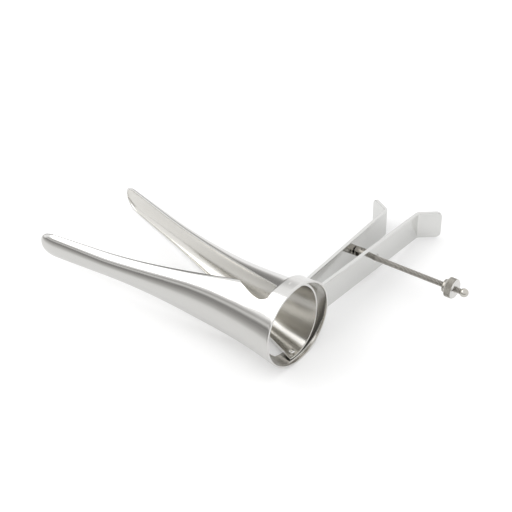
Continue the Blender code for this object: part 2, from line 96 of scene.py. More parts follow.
# Handles, rod, nut and ball, as in the CAD
STRIP_WIDTH = 16.0
STRIP_THICKNESS = 2.0
NEAR_HANDLE_X = -0.2
FAR_HANDLE_X = -6.54
ROD_DIAMETER = 3.0
ROD_CHAMFER = 0.3
TONGUE_LENGTH = 3.9
TONGUE_THICKNESS = 1.8
TONGUE_RADIUS = 2.4
TONGUE_NECK = 0.45 * ROD_DIAMETER
HINGE_BORE = 2.2
NUT_START = 48.4
NUT_CLEARANCE = 0.05
NUT_CHAMFER = 0.7
NUT_COUNTERSINK = 0.3
COLLAR_DIAMETER = 6.9
COLLAR_LENGTH = 1.9
COLLAR_COUNTERSINK = 0.25
COLLAR_EDGE = 0.3
COLLAR_ROOT = 0.05
KNURL_DIAMETER = 10.4
KNURL_LENGTH = 4.6
KNURL_EDGE = 0.35
BALL_PLACE = 59.3
BALL_DIAMETER = 4.55

# What the steel mirrors besides white. Painted shade: the paper, as the steel mirrors it, is darkened with the
# distance in front of it, in metres, standing in for a sweep that ends in a dim room. Each opening in the tent has
# its direction, the cosines of its outer and inner border, and its colours over the sine of the elevation.
MIRRORED_PAPER_SHADE = ((0.03, "#F0F0F0"), (0.11, "#DBDBDA"), (0.14, "#B2B1AF"), (0.2, "#9D9C9A"), (0.3, "#8A8987"))
ROOM = ((0.0, "#838280"), (0.045, "#91908E"), (0.105, "#D1D0CE"), (0.145, "#E0DFDD"), (0.2, "#ACABA9"),
        (0.25, "#B0AFAD"), (0.31, "#E6E5E4"), (0.36, "#FFFFFF"))
GAP = ((0.05, "#B4B3B1"), (0.4, "#878684"))
OPENINGS = (((0.25, -0.97, 0), 0.38, 0.52, ROOM), ((-0.917, 0.379, 0.12), 0.865, 0.94, GAP))

# Thread: how far it stands off the rod's shoulder, the share of the flank that is flat at crest and
# root, and where the roots' painted shade begins, from the shoulder and as a share of the thread's depth
THREAD_START = 0.5
THREAD_FLAT = 0.1
ROOT_SHADE_START = 1.0
ROOT_SHADE_SHARE = 0.5

# Knurl's run-in beside its edges, and how square to the axis a face counts as cut on the lathe and takes the
# painted highlight
KNURL_RUN_IN = 0.3
FACED_HIGHLIGHT_NORMAL = 0.7

# Solder: how far the fillet reaches under the strip and into the sheet, and how hollow its face is
SOLDER_UNDER = 0.3
SOLDER_SUNK = 0.2
SOLDER_TOE_SUNK = 0.1
SOLDER_HOLLOW = 1.2
SOLDER_TOP = 0.9
PROBE_LENGTH = 40.0

# Patterns in the finishes: lengths in millimetres, and how many to the metre
BUFFING_SPACING = 0.25
BUFFING_LENGTH = 40.0
BUFFING_HEIGHT = 0.02
WAVES_PER_METRE = 80
WAVE_HEIGHT = 0.15
CLOUDS_PER_METRE = 90
GRAIN_HEIGHT = 0.03
NOISE_RANGE = (0.3, 0.7)
SHEET_SPREAD = 0.3
HOLLOW_SPREAD = 0.15
BAR_SPREAD = 0.2

# Roughness of the smaller parts' finishes
RIM_ROUGHNESS = 0.35
RIVET_ROUGHNESS = 0.14
STUD_ROUGHNESS = 0.25
THREAD_ROUGHNESS = 0.3
ROOT_SHADE_ROUGHNESS = 0.45
KNURL_ROUGHNESS = 0.24
FACED_ROUGHNESS = 0.16
BALL_ROUGHNESS = 0.14
SOLDER_ROUGHNESS = 0.3

# Stage, in metres
FLOOR_HALF = 2.0
SOFTBOX_SIZE = (0.92, 0.5)
SOFTBOX_PLACE = (-0.512, -0.334, 0.658)
CAMERA_AIM = (0.0235, -0.0355, 0.0462)
SENSOR_WIDTH = 36

# Steps of the finished meshes
ARC_STEPS = 96
NOTCH_ROWS = 46
BILL_ROWS = 70
TIP_ROWS = 32
BAND_STEPS = 96
BAND_ROWS = 8
EDGE_SEGMENTS = 3
EDGE_ANGLE = 55
THREAD_COLUMNS = 40
ROWS_PER_PITCH = 8
TONGUE_STEPS = 40
HOLE_STEPS = 43
COLUMNS_PER_TOOTH = 6
KNURL_ROWS = 48
BALL_COLUMNS = 64
BALL_ROWS = 48
SHORT_SIDE_STEPS = 4
LONG_SIDE_STEPS = 24


def axes(origin, forward, up):
    """Matrix from millimetres in local axes to the row frame: X is forward and Z is up."""
    z = Vector(up).normalized()
    x = Vector(forward)
    x = (x - z * x.dot(z)).normalized()
    turn = Matrix((x, z.cross(x), z)).transposed().to_4x4()
    return Matrix.Translation(Vector(origin)) @ turn @ Matrix.Scale(MM, 4)


PIVOT = JOINTS["valve_pivot"]
INSTRUMENT = axes(PIVOT["pos_m"], MOUNTS["near_handle_face"]["axis"], PIVOT["axis"])
ROD_FRAME = axes(JOINTS["rod_swing"]["pos_m"], JOINTS["nut_travel"]["axis"], PIVOT["axis"])
FAR_HANDLE_OUT = Vector(MOUNTS["far_handle_face"]["axis"])


class Valve:
    """Outer form of one valve, as in the CAD. side is -1 for the near one and +1 for the far one."""

    def __init__(self, side, turn, mouth_place, mouth, bill_height, tip_height, slopes):
        self.side = side
        self.turn = math.radians(turn)
        self.mouth_place = mouth_place
        self.start = -mouth_place / math.cos(self.turn)
        self.mouth_shift = -side * math.sin(self.turn) * self.start
        self.mouth_height, self.mouth_depth = mouth
        self.bill_height = bill_height
        self.tip_height = tip_height
        self.height_slope, self.depth_slope = slopes
        self.rim = -side * RIM_OFFSET


def ring_radius(place):
    """Outside of the ring at a place along its axis, behind the pivot axis."""
    return RING_RADIUS + RING_TAPER * place


def near_valve():
    """The near valve, whose funnel grows out of the ring's front edge."""
    back = ring_radius(RING_RIM - BAND_WIDTH)
    return Valve(side=-1, turn=-11.2, mouth_place=RING_RIM - BAND_WIDTH, mouth=(back, back),
                 bill_height=7.6, tip_height=7.3, slopes=(-0.165, -0.285))


def far_valve(sheet):
    """The far valve, whose ears nest inside a ring made of sheet that thick."""
    mouth = (ring_radius(EAR_REACH) - sheet - NEST_GAP, FAR_MOUTH_DEPTH)
    return Valve(side=1, turn=12.2, mouth_place=EAR_REACH, mouth=mouth,
                 bill_height=8.6, tip_height=7.8, slopes=(-0.17, -0.28))


def smooth(t):
    """Ease from 0 to 1 with level ends."""
    t = min(max(t, 0.0), 1.0)
    return t * t * (3 - 2 * t)


def hermite(t, first, last, first_slope, last_slope):
    """Cubic from first to last, with the given slopes per unit of t."""
    return ((2 * t**3 - 3 * t**2 + 1) * first + (t**3 - 2 * t**2 + t) * first_slope
            + (3 * t**2 - 2 * t**3) * last + (t**3 - t**2) * last_slope)


def funnel_law(u, start, mouth, bill, tip, slope):
    """A funnel size that eases into an even bill, and then runs straight to the tip."""
    if u < FUNNEL_LENGTH:
        length = FUNNEL_LENGTH - start
        return hermite((u - start) / length, mouth, bill, slope * length, BILL_SLOPE * length)
    return bill + (tip - bill) * (u - FUNNEL_LENGTH) / (BILL_LENGTH - FUNNEL_LENGTH)


def tip_factor(u):
    """Superellipse that rounds the last stretch of a bill."""
    t = max(0.0, (u - (BILL_LENGTH - TIP_ROUNDING)) / TIP_ROUNDING)
    return (1 - min(t, 1.0) ** TIP_POWER) ** (1 / TIP_POWER)


def notched_edges(u, valve):
    """Places of the near funnel's upper and lower edges, relieved just ahead of the ring."""
    deepest = valve.start + NOTCH_ONSET
    if u > deepest:
        fade = min(1.0, ((u - deepest) / NOTCH_RUN_OUT) ** NOTCH_POWER)
    else:
        fade = NOTCH_LIP * ((deepest - u) / NOTCH_ONSET) ** 2
    return [valve.rim + depth * (1 - fade) for depth in NOTCH_DEPTHS]


def plain_edges(u, valve):
    """Places of a valve's edges where nothing is relieved."""
    return [valve.rim, valve.rim]


def section(u, valve, edges):
    """Points across a valve at distance u, from its upper edge round to its lower edge."""
    reach = u - valve.start
    turn = valve.turn * smooth(reach / TURN_LENGTH)
    centre = Vector((-math.cos(valve.turn), math.sin(valve.turn), 0)) * u
    outward = Vector((math.sin(turn), math.cos(turn), 0)) * valve.side
    shift = valve.mouth_shift + (valve.rim - valve.mouth_shift) * smooth(reach / SETTLE_LENGTH)
    height = funnel_law(u, valve.start, valve.mouth_height, valve.bill_height, valve.tip_height,
                        valve.height_slope)
    depth = funnel_law(u, valve.start, valve.mouth_depth + valve.mouth_shift - valve.rim, BILL_DEPTH,
                       TIP_DEPTH, valve.depth_slope) + valve.rim - shift
    rounding = tip_factor(u)
    height *= max(rounding, tip_factor(BILL_LENGTH - TIP_STUB))
    depth *= rounding
    upper, lower = (math.asin(max(-1.0, min(1.0, (edge - shift) / max(depth, 1e-6))))
                    for edge in edges)
    points = []
    for step in range(ARC_STEPS + 1):
        phi = upper + (math.pi - upper - lower) * step / ARC_STEPS
        points.append(centre + outward * (shift + depth * math.sin(phi))
                      + Vector((0, 0, height * math.cos(phi))))
    return points


def stations(start):
    """Distances of the sections: close together at the notch and at the rounded tip."""
    notch_end = start + NOTCH_LENGTH
    tip_start = BILL_LENGTH - TIP_ROUNDING
    rows = [start + NOTCH_LENGTH * k / NOTCH_ROWS for k in range(NOTCH_ROWS)]
    rows += [notch_end + (tip_start - notch_end) * k / BILL_ROWS for k in range(BILL_ROWS)]
    rows += [tip_start + TIP_ROUNDING * math.sin(math.pi / 2 * k / TIP_ROWS) for k in range(TIP_ROWS + 1)]
    return rows


def skin(mesh, rows, closed=False):
    """Faces between rows of vertices."""
    for row, following in zip(rows, rows[1:]):
        count = len(row)
        for k in range(count if closed else count - 1):
            j = (k + 1) % count
            mesh.faces.new((row[k], row[j], following[j], following[k]))


def lay_lengthwise(mesh, valve):
    """UVs in metres: U runs along the bill and V across it, for the polishing lines."""
    layer = mesh.loops.layers.uv.new("lengthwise")
    for face in mesh.faces:
        for loop in face.loops:
            point = loop.vert.co
            angle = math.atan2(point.z, point.y * valve.side + RIM_OFFSET)
            loop[layer].uv = (-point.x * MM, angle * MEAN_RADIUS * MM)


def piece(name, mesh, matrix, finish, body, sharp=35, stands_for=None):
    """Carry a mesh into the row frame, make it an object with its finish on the body that it rides on, and hide
    the CAD node it stands for.
    """
    mesh.transform(matrix)
    data = bpy.data.meshes.new(name)
    mesh.to_mesh(data)
    mesh.free()
    data.shade_smooth()
    data.set_sharp_from_angle(angle=math.radians(sharp))
    data.materials.append(finish)
    thing = bpy.data.objects.new(name, data)
    bpy.context.scene.collection.objects.link(thing)
    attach(thing, body)
    if stands_for:
        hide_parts(stands_for)
    return thing


def sheet_edges(thing, hollow, rim, thickness, rounding):
    """Give a formed skin its even wall, finish its hollow side and its rim, and break its edges."""
    thing.data.materials.append(hollow)
    thing.data.materials.append(rim)
    wall = thing.modifiers.new("wall", "SOLIDIFY")
    wall.thickness = thickness * MM
    wall.offset = -1
    wall.use_even_offset = True
    wall.material_offset = 1
    wall.material_offset_rim = 2
    edge = thing.modifiers.new("broken_edges", "BEVEL")
    edge.width = rounding * MM
    edge.segments = EDGE_SEGMENTS
    edge.limit_method = "ANGLE"
    edge.angle_limit = math.radians(EDGE_ANGLE)


def face_outward(mesh, valve):
    """Turn all faces to point away from the valve's hollow."""
    bmesh.ops.recalc_face_normals(mesh, faces=mesh.faces)
    widest = max(mesh.faces, key=lambda face: face.calc_center_median().y * valve.side)
    if widest.normal.y * valve.side < 0:
        bmesh.ops.reverse_faces(mesh, faces=mesh.faces)


def near_skin():
    """Outer surface of the mouth ring, near funnel and near bill."""
    valve = near_valve()
    mesh = bmesh.new()
    rows = [[mesh.verts.new(point) for point in section(u, valve, notched_edges(u, valve))]
            for u in stations(valve.start)]
    skin(mesh, rows)
    back = ring_radius(valve.mouth_place)
    upper, lower = (math.asin((edge - valve.mouth_shift) / back)
                    for edge in notched_edges(valve.start, valve))
    angles = [math.pi - lower + (math.pi + upper + lower) * k / BAND_STEPS
              for k in range(1, BAND_STEPS)]
    front = rows[0] + [mesh.verts.new((valve.mouth_place, -back * math.sin(a), back * math.cos(a)))
                       for a in angles]
    bands = [front]
    for k in range(1, BAND_ROWS + 1):
        place = valve.mouth_place + BAND_WIDTH * k / BAND_ROWS
        flare = ring_radius(place) / back
        bands.append([mesh.verts.new((place, vert.co.y * flare, vert.co.z * flare)) for vert in front])
    skin(mesh, bands[::-1], closed=True)
    face_outward(mesh, valve)
    lay_lengthwise(mesh, valve)
    return mesh


def far_skin(sheet):
    """Outer surface of the nested half funnel and far bill."""
    valve = far_valve(sheet)
    mesh = bmesh.new()
    rows = [[mesh.verts.new(point) for point in section(u, valve, plain_edges(u, valve))]
            for u in stations(valve.start)]
    skin(mesh, rows)
    face_outward(mesh, valve)
    lay_lengthwise(mesh, valve)
    return mesh


def lathe(profile, columns, radius_at=None):
    """A turned surface round X, from (place, radius) points, closed on the axis where the radius is 0."""
    mesh = bmesh.new()
    rows = []
    for place, radius in profile:
        if radius == 0:
            rows.append([mesh.verts.new((place, 0, 0))] * columns)
            continue
        row = []
        for k in range(columns):
            angle = 2 * math.pi * k / columns
            reach = radius_at(place, radius, angle) if radius_at else radius
            row.append(mesh.verts.new((place, reach * math.cos(angle), reach * math.sin(angle))))
        rows.append(row)
    for row, following in zip(rows, rows[1:]):
        for k in range(columns):
            j = (k + 1) % columns
            corners = dict.fromkeys((row[k], row[j], following[j], following[k]))
            mesh.faces.new(corners)
    bmesh.ops.recalc_face_normals(mesh, faces=mesh.faces)
    return mesh


def linear(colour):
    """Linear RGBA from an sRGB hex colour."""
    parts = [int(colour[k:k + 2], 16) / 255 for k in (1, 3, 5)]
    return [c / 12.92 if c <= 0.04045 else ((c + 0.055) / 1.055) ** 2.4 for c in parts] + [1.0]


def add(tree, kind, inputs=None, **settings):
    """Add a node. Inputs are values, or sockets to link, and settings are its own properties."""
    made = tree.nodes.new(kind)
    for name, value in settings.items():
        setattr(made, name, value)
    for name, value in (inputs or {}).items():
        if isinstance(value, bpy.types.NodeSocket):
            tree.links.new(value, made.inputs[name])
        else:
            made.inputs[name].default_value = value
    return made


def ramp(tree, value, stops):
    """Colour ramp over a value, from (place, sRGB hex colour) stops."""
    made = add(tree, "ShaderNodeValToRGB", {"Fac": value})
    while len(made.color_ramp.elements) < len(stops):
        made.color_ramp.elements.new(0.5)
    for element, (at, colour) in zip(made.color_ramp.elements, stops):
        element.position = at
        element.color = linear(colour)
    return made.outputs["Color"]


def blend(tree, share, first, second, kind="MIX"):
    """Colour between two colours. The Mix node's colour sockets are 6 and 7, and its colour result is 2."""
    mixed = add(tree, "ShaderNodeMix", {"Factor": share, 6: first, 7: second}, data_type="RGBA",
                blend_type=kind)
    return mixed.outputs[2]


def new_tree(name):
    """A material with an empty node tree, or the one already made under that name."""
    finish = bpy.data.materials.get(name) or bpy.data.materials.new(name)
    finish.use_nodes = True
    finish.node_tree.nodes.clear()
    return finish, finish.node_tree


def varied(tree, noise, roughness, spread):
    """Roughness that a noise moves up and down by a share of itself."""
    low, high = NOISE_RANGE
    moved = add(tree, "ShaderNodeMapRange",
                {"Value": noise.outputs["Fac"], "From Min": low, "From Max": high,
                 "To Min": roughness * (1 - spread), "To Max": roughness * (1 + spread)})
    return moved.outputs["Result"]


def steel_surface(tree, colour, roughness, normal):
    """Bare metal with a given roughness and normal."""
    shader = add(tree, "ShaderNodeBsdfPrincipled", {"Base Color": linear(colour), "Metallic": 1.0,
                                                    "Roughness": roughness, "Normal": normal})
    add(tree, "ShaderNodeOutputMaterial", {"Surface": shader.outputs["BSDF"]})


def stainless_sheet(name, colour, roughness, spread):
    """Austenitic sheet, formed and buffed: a mirror softened by fine lines along the bills."""
    finish, tree = new_tree(name)
    uv = add(tree, "ShaderNodeUVMap", uv_map="lengthwise")
    # Buffing lines, drawn coarser than real ones so that they show
    stretched = add(tree, "ShaderNodeMapping",
                    {"Vector": uv.outputs["UV"],
                     "Scale": (1000 / BUFFING_LENGTH, 1000 / BUFFING_SPACING, 1)})
    lines = add(tree, "ShaderNodeTexNoise", {"Vector": stretched.outputs["Vector"], "Scale": 1,
                                             "Detail": 3, "Roughness": 0.6})
    place = add(tree, "ShaderNodeTexCoord")
    # Hammering to form leaves shallow waves
    waves = add(tree, "ShaderNodeTexNoise", {"Vector": place.outputs["Object"],
                                             "Scale": WAVES_PER_METRE, "Detail": 1})
    wavy = add(tree, "ShaderNodeBump", {"Strength": 0.25, "Distance": WAVE_HEIGHT * MM,
                                        "Height": waves.outputs["Fac"]})
    lined = add(tree, "ShaderNodeBump", {"Strength": 0.1, "Distance": BUFFING_HEIGHT * MM,
                                         "Height": lines.outputs["Fac"], "Normal": wavy.outputs["Normal"]})
    steel_surface(tree, colour, varied(tree, lines, roughness, spread), lined.outputs["Normal"])
    return finish


def sheet_finishes(steel):
    """Finish of a valve's outside, a mirror, of its hollow side, which is duller, and of its filed rim."""
    return (stainless_sheet("buffed_stainless_sheet", steel.sheet_colour, steel.roughness, SHEET_SPREAD),
            stainless_sheet("formed_stainless_hollow", steel.hollow_colour, steel.hollow_roughness,
                            HOLLOW_SPREAD),
            turned_stainless("filed_rim", steel.sheet_colour, RIM_ROUGHNESS))


def turned_stainless(name, colour, roughness, grain=0.3):
    """Bar or strip from the belt or the lathe: a duller mirror. Its even grain is given in millimetres."""
    finish, tree = new_tree(name)
    place = add(tree, "ShaderNodeTexCoord")
    speckle = add(tree, "ShaderNodeTexNoise", {"Vector": place.outputs["Object"], "Scale": 1000 / grain,
                                               "Detail": 4, "Roughness": 0.6})
    clouds = add(tree, "ShaderNodeTexNoise", {"Vector": place.outputs["Object"],
                                              "Scale": CLOUDS_PER_METRE, "Detail": 2})
    bumped = add(tree, "ShaderNodeBump", {"Strength": 0.15, "Distance": GRAIN_HEIGHT * MM,
                                          "Height": speckle.outputs["Fac"]})
    steel_surface(tree, colour, varied(tree, clouds, roughness, BAR_SPREAD), bumped.outputs["Normal"])
    return finish


def coated(node, finish):
    """Give a CAD node its finish."""
    thing = NODES[node]
    thing.data.materials.clear()
    thing.data.materials.append(finish)


class SteelSettings(bpy.types.PropertyGroup):
    """Finish of the steel."""
    sheet_colour: StringProperty(name="Sheet colour", description="sRGB colour of the buffed sheet",
                                 default="#E3E2E0")
    hollow_colour: StringProperty(name="Hollow colour", default="#E0DED9",
                                  description="sRGB colour of the valves' hollow side")
    strip_colour: StringProperty(name="Strip colour", description="sRGB colour of the handle strip",
                                 default="#E0E0DE")
    # Painted shade: the stud and its pin are dark grey for the shade between the handles
    stud_shade_colour: StringProperty(name="Stud colour", description="sRGB colour of the stud and its pin",
                                default="#98948D")
    thread_colour: StringProperty(name="Thread colour", description="sRGB colour of the rod",
                                  default="#C3C0BA")
    # Painted shade in the thread's grooves
    root_shade_colour: StringProperty(name="Root colour", description="sRGB colour of the thread's roots",
                                default="#79756E")
    # Painted shade on the knurl, and below it a painted highlight on the nut's end faces
    knurl_shade_colour: StringProperty(name="Knurl colour", description="sRGB colour of the nut's knurl",
                                 default="#AEABA4")
    faced_highlight_colour: StringProperty(name="Faced colour", description="sRGB colour of the nut's end faces",
                                 default="#DCDBD8")
    ball_colour: StringProperty(name="Ball colour", description="sRGB colour of the end ball",
                                default="#CAC7C0")
    solder_colour: StringProperty(name="Solder colour", description="sRGB colour of the silver solder",
                                  default="#D0CEC6")
    roughness: FloatProperty(name="Sheet roughness", description="Roughness of the buffed sheet",
                             default=0.12, min=0.0, max=1.0, subtype="FACTOR")
    hollow_roughness: FloatProperty(name="Hollow roughness", description="Roughness of the hollow side",
                                    default=0.2, min=0.0, max=1.0, subtype="FACTOR")
    strip_roughness: FloatProperty(name="Strip roughness", description="Roughness of the handle strip",
                                   default=0.15, min=0.0, max=1.0, subtype="FACTOR")


class SheetSettings(bpy.types.PropertyGroup):
    """Sheet metal of the valves, and its soldered joints."""
    thickness: FloatProperty(name="Sheet", description="Wall of both valves, in millimetres",
                             default=1.0, min=0.3, max=3.0)
    rounding: FloatProperty(name="Edge rounding", description="Broken edge of the sheet, in millimetres",
                            default=0.3, min=0.0, max=0.45)
    solder: FloatProperty(name="Solder leg", description="Leg of a soldered fillet, in millimetres",
                          default=0.7, min=0.1, max=3.0)


class RodSettings(bpy.types.PropertyGroup):
    """Thread of the rod and knurl of the nut."""
    pitch: FloatProperty(name="Pitch", description="Thread pitch, in millimetres", default=0.75, min=0.2)
    thread_depth: FloatProperty(name="Thread depth", description="From crest to root, in millimetres",
                                default=0.32, min=0.0)
    knurl_teeth: IntProperty(name="Knurl teeth", description="Lines of each hand round the nut",
                             default=44, min=8)
    knurl_depth: FloatProperty(name="Knurl depth", description="Depth of the knurl, in millimetres",
                               default=0.28, min=0.0)


class StageSettings(bpy.types.PropertyGroup):
    """Camera, light and floor."""
    azimuth: FloatProperty(name="Azimuth", description="Camera's turn from looking along +Y",
                           default=math.radians(44.64), subtype="ANGLE")
    elevation: FloatProperty(name="Elevation", description="Camera's height above the table",
                             default=math.radians(42.67), subtype="ANGLE")
    roll: FloatProperty(name="Roll", description="Camera's turn round its line of sight",
                        default=math.radians(-4.43), subtype="ANGLE")
    distance: FloatProperty(name="Distance", description="From the camera to the aim", default=0.42,
                            unit="LENGTH")
    lens: FloatProperty(name="Lens", description="Focal length on a 36 mm sensor", default=61.4,
                        unit="CAMERA")
    floor_colour: StringProperty(name="Floor colour", description="sRGB colour of the paper sweep",
                                 default="#F6F6F6")
    floor_lift: FloatProperty(name="Floor lift", description="Own white of the floor, seen by the camera",
                              default=0.15, min=0.0, max=1.0)
    key: FloatProperty(name="Key", description="Power of the softbox in watts", default=1.85, min=0.0)
    key_roll: FloatProperty(name="Key roll", description="Tilt of the softbox's lower edge",
                            default=math.radians(-24), subtype="ANGLE")


def settings():
    """The four groups of settings."""
    scene = bpy.context.scene
    return scene.speculum_steel, scene.speculum_sheet, scene.speculum_rod, scene.speculum_stage


class SPECULUM_OT_outer_valve(bpy.types.Operator):
    """Ring, near funnel and near bill as one buffed sheet"""
    bl_idname = "speculum.outer_valve"
    bl_label = "Outer valve"

    def execute(self, context):
        steel, sheet, _, _ = settings()
        buffed, hollow, rim = sheet_finishes(steel)
        thing = piece("outer_valve_sheet", near_skin(), INSTRUMENT, buffed, "outer_half",
                      stands_for="outer_valve")
        sheet_edges(thing, hollow, rim, sheet.thickness, sheet.rounding)
        return {"FINISHED"}


class SPECULUM_OT_inner_valve(bpy.types.Operator):
    """Nested funnel and far bill as one buffed sheet"""
    bl_idname = "speculum.inner_valve"
    bl_label = "Inner valve"

    def execute(self, context):
        steel, sheet, _, _ = settings()
        buffed, hollow, rim = sheet_finishes(steel)
        thing = piece("inner_valve_sheet", far_skin(sheet.thickness), INSTRUMENT, buffed, "inner_half",
                      stands_for="inner_valve")
        sheet_edges(thing, hollow, rim, sheet.thickness, sheet.rounding)
        return {"FINISHED"}


class SPECULUM_OT_handles(bpy.types.Operator):
    """Satin finish on both handle strips"""
    bl_idname = "speculum.handles"
    bl_label = "Handles"

    def execute(self, context):
        steel = settings()[0]
        # The belt leaves an even, pale grey without lines of its own
        finish = turned_stainless("belt_finished_strip", steel.strip_colour, steel.strip_roughness,
                                  grain=0.4)
        for node in ("outer_handle", "inner_handle"):
            coated(node, finish)
        return {"FINISHED"}


class SPECULUM_OT_fasteners(bpy.types.Operator):
    """Finish of the pivot rivets, the stud and its cross pin"""
    bl_idname = "speculum.fasteners"
    bl_label = "Rivets and stud"

    def execute(self, context):
        steel = settings()[0]
        # The rivets are buffed with the ring and all but vanish in it. The stud and its pin are given a dark grey:
        # painted shade for the shade they lie in between the handles
        flush = turned_stainless("buffed_rivet", steel.sheet_colour, RIVET_ROUGHNESS)
        turned = turned_stainless("turned_bar_painted_shade", steel.stud_shade_colour, STUD_ROUGHNESS)
        for node, finish in (("upper_rivet", flush), ("lower_rivet", flush), ("rod_lug", turned),
                             ("lug_pin", turned)):
            coated(node, finish)
        return {"FINISHED"}


class SPECULUM_OT_rod(bpy.types.Operator):
    """Threaded rod with its flat tongue"""
    bl_idname = "speculum.rod"
    bl_label = "Threaded rod"

    def execute(self, context):
        steel, _, rod, _ = settings()
        # The crests of a rolled thread are smooth and give the rod its bright streak
        finish = turned_stainless("rolled_thread", steel.thread_colour, THREAD_ROUGHNESS)
        rolled = piece("rolled_rod", self.thread(rod), ROD_FRAME, finish, "rod",
                       sharp=50, stands_for="threaded_rod")
        # The thread's roots are given a darker colour: painted shade in its grooves
        rolled.data.materials.append(turned_stainless("thread_root_painted_shade", steel.root_shade_colour,
                                                      ROOT_SHADE_ROUGHNESS))
        piece("rod_tongue", self.tongue(), ROD_FRAME, finish, "rod")
        return {"FINISHED"}

    def thread(self, rod):
        """The threaded length, from its shoulder at the tongue into the ball."""
        crest = ROD_DIAMETER / 2
        length = BALL_PLACE - TONGUE_LENGTH
        rows = round(length / rod.pitch * ROWS_PER_PITCH)
        profile = [(TONGUE_LENGTH, 0), (TONGUE_LENGTH, crest - ROD_CHAMFER)]
        profile += [(TONGUE_LENGTH + ROD_CHAMFER + (length - ROD_CHAMFER) * k / rows, crest)
                    for k in range(rows + 1)]
        profile.append((BALL_PLACE, 0))

        def threaded(place, radius, angle):
            if radius < crest:
                return radius
            phase = (place / rod.pitch - angle / (2 * math.pi)) % 1.0
            flank = abs(2 * phase - 1)
            fade = smooth((place - TONGUE_LENGTH - THREAD_START) / rod.pitch)
            slope = smooth((flank - THREAD_FLAT) / (1 - 2 * THREAD_FLAT))
            return radius - rod.thread_depth * fade * slope

        mesh = lathe(profile, THREAD_COLUMNS, threaded)
        # Faces deep in the thread's roots take the painted shade
        root = crest - ROOT_SHADE_SHARE * rod.thread_depth
        for face in mesh.faces:
            middle = face.calc_center_median()
            face.material_index = int(middle.x > TONGUE_LENGTH + ROOT_SHADE_START and middle.yz.length < root)
        return mesh

    def tongue(self):
        """The flat tongue with the bore for the hinge pin."""
        mesh = bmesh.new()
        half = TONGUE_THICKNESS / 2
        shoulder = TONGUE_LENGTH + half
        corner = math.asin(TONGUE_NECK / TONGUE_RADIUS)
        angles = [corner + 2 * (math.pi - corner) * k / TONGUE_STEPS for k in range(TONGUE_STEPS + 1)]
        outline = [Vector((shoulder, TONGUE_NECK))]
        outline += [TONGUE_RADIUS * Vector((math.cos(a), math.sin(a))) for a in angles]
        outline.append(Vector((shoulder, -TONGUE_NECK)))
        turns = [2 * math.pi * k / HOLE_STEPS for k in range(HOLE_STEPS)]
        hole = [HINGE_BORE / 2 * Vector((math.cos(a), math.sin(a))) for a in turns]
        loops = []
        for side in (half, -half):
            outer = [mesh.verts.new((*p, side)) for p in outline]
            inner = [mesh.verts.new((*p, side)) for p in hole]
            loops.append((outer, inner))
            edges = [mesh.edges.new((ring[k - 1], ring[k])) for ring in (outer, inner)
                     for k in range(len(ring))]
            bmesh.ops.triangle_fill(mesh, use_beauty=True, edges=edges)
        for top, bottom in zip(*loops):
            skin(mesh, [top, bottom], closed=True)
        bmesh.ops.recalc_face_normals(mesh, faces=mesh.faces)
        return mesh


class SPECULUM_OT_nut(bpy.types.Operator):
    """Knurled nut with its plain collar"""
    bl_idname = "speculum.nut"
    bl_label = "Knurled nut"

    def execute(self, context):
        steel, _, rod, _ = settings()
        # The knurled wheel is given a darker grey: painted shade for the light that the knurl's many small slopes
        # scatter
        finish = turned_stainless("knurled_bar_painted_shade", steel.knurl_shade_colour, KNURL_ROUGHNESS)
        wheel = piece("knurled_wheel", self.wheel(rod), ROD_FRAME, finish, "nut",
                      sharp=40, stands_for="knurled_nut")
        # Faces square to the axis, cut on the lathe, are given a lighter colour than the knurl: a painted
        # highlight
        wheel.data.materials.append(turned_stainless("faced_bar_painted_highlight", steel.faced_highlight_colour, FACED_ROUGHNESS))
        return {"FINISHED"}

    def wheel(self, rod):
        """Collar and knurled wheel in one turned piece, with its bore countersunk at both ends."""
        bore = ROD_DIAMETER / 2 + NUT_CLEARANCE
        collar = COLLAR_DIAMETER / 2
        knurl = KNURL_DIAMETER / 2
        length = COLLAR_LENGTH + KNURL_LENGTH
        low, high = COLLAR_LENGTH + KNURL_EDGE, length - NUT_CHAMFER
        profile = [(COLLAR_COUNTERSINK, bore), (0, bore + NUT_COUNTERSINK), (0, collar - COLLAR_EDGE),
                   (COLLAR_EDGE / 3, collar - COLLAR_EDGE / 3), (COLLAR_EDGE, collar),
                   (COLLAR_LENGTH - COLLAR_ROOT, collar), (COLLAR_LENGTH, collar + COLLAR_ROOT),
                   (COLLAR_LENGTH, knurl - KNURL_EDGE)]
        profile += [(low + (high - low) * k / KNURL_ROWS, knurl) for k in range(KNURL_ROWS + 1)]
        profile += [(length, knurl - NUT_CHAMFER), (length, bore + NUT_COUNTERSINK),
                    (length - NUT_COUNTERSINK, bore)]

        def knurled(place, radius, angle):
            if radius < knurl:
                return radius
            lead = place * rod.knurl_teeth / (2 * math.pi * knurl)
            right, left = (abs(((rod.knurl_teeth * angle / (2 * math.pi) + hand * lead) % 1.0) - 0.5) * 2
                           for hand in (1, -1))
            fade = smooth((place - low) / KNURL_RUN_IN) * smooth((high - place) / KNURL_RUN_IN)
            return radius - rod.knurl_depth * fade * max(right, left) ** 2

        mesh = lathe(profile + profile[:1], rod.knurl_teeth * COLUMNS_PER_TOOTH, knurled)
        bmesh.ops.remove_doubles(mesh, verts=mesh.verts, dist=1e-5)
        bmesh.ops.translate(mesh, verts=mesh.verts, vec=(NUT_START, 0, 0))
        mesh.normal_update()
        # Faces square to the axis take the painted highlight, the rest the knurl's painted shade
        for face in mesh.faces:
            face.material_index = int(abs(face.normal.x) > FACED_HIGHLIGHT_NORMAL)
        return mesh


